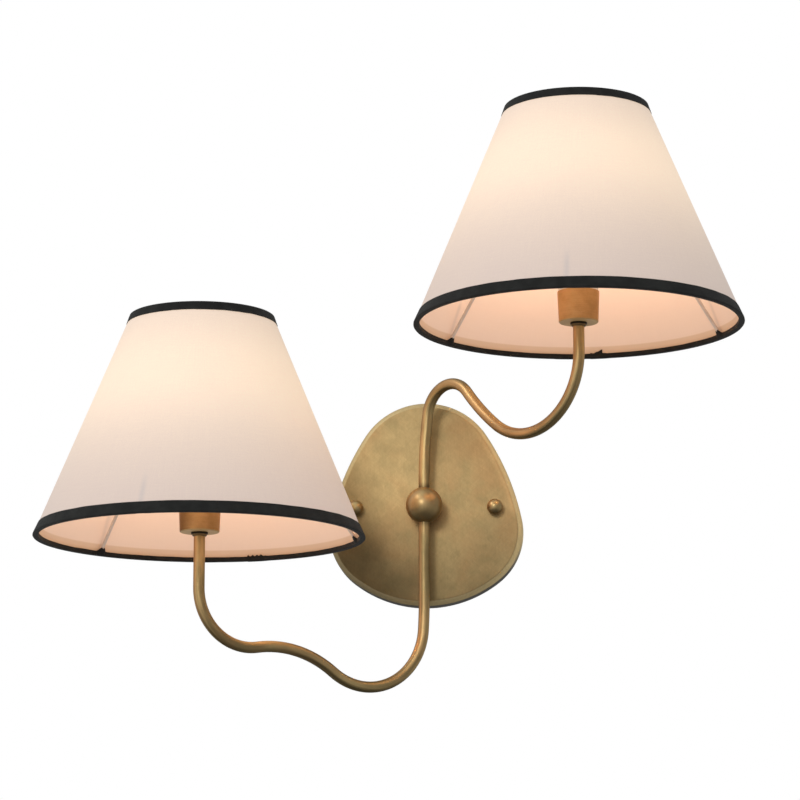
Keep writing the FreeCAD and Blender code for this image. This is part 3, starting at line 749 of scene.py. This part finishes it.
tape = {
    "dark": tone(0.007, 0.0075, 0.007), "light": tone(0.014, 0.015, 0.014),
    "ribs": 1500,                       # to the metre
    "bottomOut": 9 * mm, "bottomIn": 3.2 * mm,
    "topOut": 6.7 * mm, "topIn": 4.0 * mm,
    "foldRadius": 0.7 * mm,
    "proud": 0.4 * mm,                  # how far the fold stands out past the cone
    "wire": 2.0 * mm, "wireHeight": 1.4 * mm, "wireGap": 0.15 * mm,
    "steps": (700, 26),
    "endAngle": {"upper": 82.2, "lower": 75.1},
    "endLap": 9 * mm, "lapRise": 8 * mm,
    "corner": {"upper": 2.6 * mm, "lower": 0.4 * mm},      # a corner of the cut start that stands up inside
    "cornerRun": 8 * mm,
    "teeth": {"upper": 0.3 * mm, "lower": 1.2 * mm},       # pinking of the lapped end
    "toothWidth": 3.4 * mm,
    "fray": 1.6 * mm, "frayRun": 14 * mm, "frayFine": 95,  # both cut ends are frayed inside
    "waveIn": 0.22 * mm, "waveOut": 0.16 * mm, "waveFine": 9,       # its edges waver
    "bulge": 0.06 * mm,
    "tabWidth": 3.0 * mm, "tabRise": 2.4 * mm, "tabDepth": 2.6 * mm,        # it is drawn in over each strut
    "overCloth": 0.08 * mm,
}


def tapeFinish():
    finish = Finish("blackTape", Roughness=0.85, Sheen_Weight=0.05, Sheen_Roughness=0.5,
                    Specular_IOR_Level=0.25)
    along, across, _ = finish.parts(finish.node("ShaderNodeTexCoord", output="UV"))
    rib = (along * (2 * pi * tape["ribs"])).math("SINE") * (across * (2 * pi * tape["ribs"])).math("SINE")
    worn = finish.noise(120, 3)
    finish.feed("Base Color", finish.blend(worn.between(0.3, 0.75), tape["dark"], tape["light"]))
    finish.bump(rib + worn, 0.35, 0.08 * mm)
    return finish


# Corners rounded to one radius, then points at even steps along the line
def roundedLine(corners, radius, count):
    dense = [Vector(corners[0])]
    for before, corner, after in zip(corners, corners[1:], corners[2:]):
        corner = Vector(corner)
        back, ahead = (Vector(before) - corner).normalized(), (Vector(after) - corner).normalized()
        half = back.angle(ahead) / 2
        reach = radius / tan(half)
        centre = corner + (back + ahead).normalized() * (radius / sin(half))
        first, last = corner + back * reach - centre, corner + ahead * reach - centre
        for k in range(9):
            dense.append(centre + first.lerp(last, k / 8).normalized() * radius)
    dense.append(Vector(corners[-1]))
    lengths = [0.0]
    for a, b in zip(dense, dense[1:]):
        lengths.append(lengths[-1] + (b - a).length)
    line = []
    for k in range(count + 1):
        want = lengths[-1] * k / count
        i = max(i for i in range(len(dense) - 1) if lengths[i] <= want + 1e-12)
        share = (want - lengths[i]) / max(1e-12, lengths[i + 1] - lengths[i])
        line.append(dense[i].lerp(dense[i + 1], min(1.0, share)))
    return line, lengths[-1]


# The fold's section as (radius, height), from outside round the edge to the inside, and its length
def tapeSection(end, into, out, inside):
    cloth = slopeRadius(end + into * tape["wireHeight"], shade["tapeThick"] + shade["clothThick"])
    inner = cloth - tape["wire"] - shade["tapeThick"] - tape["wireGap"]
    outTop = end + into * out * cos(slope)
    corners = [(slopeRadius(outTop), outTop), (slopeRadius(end) + tape["proud"], end), (inner, end),
               (inner, end + into * inside)]
    return roundedLine(corners, tape["foldRadius"], tape["steps"][1])


def makeTape(side, edge):
    axis = axes[side]
    bottom = edge == "bottom"
    out, inside = (tape["bottomOut"], tape["bottomIn"]) if bottom else (tape["topOut"], tape["topIn"])
    into = 1 if bottom else -1
    line, width = tapeSection(0.0 if bottom else shade["height"], into, out, inside)
    start = radians(tape["endAngle"][side])
    around = 2 * pi * line[0].x
    lap, seam = tape["endLap"], shade["seamWidth"]

    def place(u, v):
        # u runs the other way round on the top tape, so that both strips face outwards
        v = v if into < 0 else 1 - v
        r, z = line[round(v * tape["steps"][1])]
        turn = 2 * pi + lap / line[0].x
        angle = start + u * turn
        fromEnd = (1 - u) * turn * line[0].x
        fromStart = u * turn * line[0].x
        over = smooth(lap + tape["lapRise"], lap, fromEnd)
        ragged = max(over, smooth(tape["frayRun"], 0, fromStart))
        inward = smooth(0.72, 1.0, v)
        outward = smooth(0.3, 0.0, v)
        coarse, fine = tape["waveFine"], tape["frayFine"]
        wave = noise.noise(Vector((cos(angle) * coarse, sin(angle) * coarse, axis.x * 50 + into)))
        frayed = noise.noise(Vector((cos(angle) * fine, sin(angle) * fine, axis.x * 50)))
        edgeIn = wave * tape["waveIn"] + ragged * max(0.0, frayed) * tape["fray"]
        z += into * (inward * edgeIn + outward * wave * tape["waveOut"])
        if bottom:
            z += inward * tape["corner"][side] * smooth(tape["cornerRun"], 0, fromStart) ** 1.5
            tooth = 0.5 + 0.5 * sin(2 * pi * fromEnd / tape["toothWidth"])
            z += inward * tape["teeth"][side] * over * tooth
            for strut in strutAngles[side]:
                a = radians(strut)
                off = hypot(cos(angle) - cos(a), sin(angle) - sin(a)) * r
                tab = exp(-(off / tape["tabWidth"]) ** 4) * inward
                z += tab * tape["tabRise"]
                r -= tab * tape["tabDepth"]
        # the lapped end lies over the start, outside and inside
        sign = 1 if v < 0.5 else -1
        r += sign * over * (shade["tapeThick"] + 0.05 * mm) + tape["bulge"] * wave * outward
        # the outside rises over the lapped end of the cloth
        fromSeam = ((angle - radians(shade["seamAngle"]) + pi) % (2 * pi) - pi) * r
        onLap = smooth(-10 * mm, -1 * mm, fromSeam) * smooth(seam + 3 * mm, seam, fromSeam)
        r += onLap * (shade["clothThick"] + tape["overCloth"]) * smooth(out / width + 0.15, out / width, v)
        z -= into * over * 0.25 * mm * (1 - inward) * (1 - outward)
        return axis + Vector((r * cos(angle), r * sin(angle), z))

    strip = wrapStrip(side + "_" + edge + "_binding", tape["steps"], (around, width), place)
    strip.data.materials.append(tapeFinish().material)
    thicken(strip, shade["tapeThick"])
    return strip


def makeShades():
    for side in sides:
        cloth = makeCloth(side)
        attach(cloth, side + "_shade")
        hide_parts(side + "_shade_cloth")
        for edge in ("bottom", "top"):
            strip = makeTape(side, edge)
            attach(strip, side + "_shade")
            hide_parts(side + "_" + edge + "_tape")
        print(side, "shade wrapped and bound")


# Finishes on the frame's own pieces, named by node, or by node without its side
def dressFrame():
    rubbedAndHighlit, plain, zinc = brassFinish("rubbedBrass"), brassFinish("plainBrass"), steelFinish()
    white, holder = mattFinish("whiteWire"), mattFinish("holderPlastic")
    finishes = {
        "canopy": brassFinish("agedBrass", "plate"),
        "cap_nuts": rubbedAndHighlit, "hub_ball": rubbedAndHighlit, "hub_seat": rubbedAndHighlit,
        "hub_lock_nut": plain, "centre_contact": plain,
        "hub_washer": zinc, "crossbar": zinc,
        "ground_screw": greenFinish(),
        "lead_connectors": mattFinish("connectorPlastic"), "lead": mattFinish("leadSheath"),
        "lampholder": holder, "seat_ring": holder, "clamp_ring": holder,
        "bulb_glass": glassFinish(), "bulb_filament": filamentFinish(),
        "shade_spider": white, "bottom_wire": white, "top_wire": white,
    }
    for name in nodes:
        kind = name.split("_", 1)[1] if name.startswith(sides) else name
        if kind in finishes:
            paint(name, finishes[kind])
    turned = brassTones["plainBrass"]
    for side in sides:
        paint(side + "_arm", brassFinish("rubbedBrass", "arm", side))
        paint(side + "_socket_cup", brassFinish("warmBrass", "cup", side))
        paint(side + "_collar", collarFinish(side))
        paint(side + "_bulb_cap", threadFinish(side + "LampCap", nickelTones, axes[side], pitches["lamp"]))
        paint(side + "_screw_shell", threadFinish(side + "ScrewShell", turned, axes[side], pitches["lamp"]))
        nodes[side + "_bulb_glass"].visible_shadow = False
    hub = middleOf("hub_nipple")
    paint("hub_nipple", threadFinish("nippleThread", turned, hub, pitches["nipple"], along=1))
    paint("canopy_studs", threadFinish("studThread", turned, hub, pitches["stud"], along=1))
    print("frame dressed")


bpy.context.scene.view_settings.view_transform = "Standard"
addCamera()
addLights()
addWorld()
addFloor()
print("studio set")
dressFrame()
makeShades()
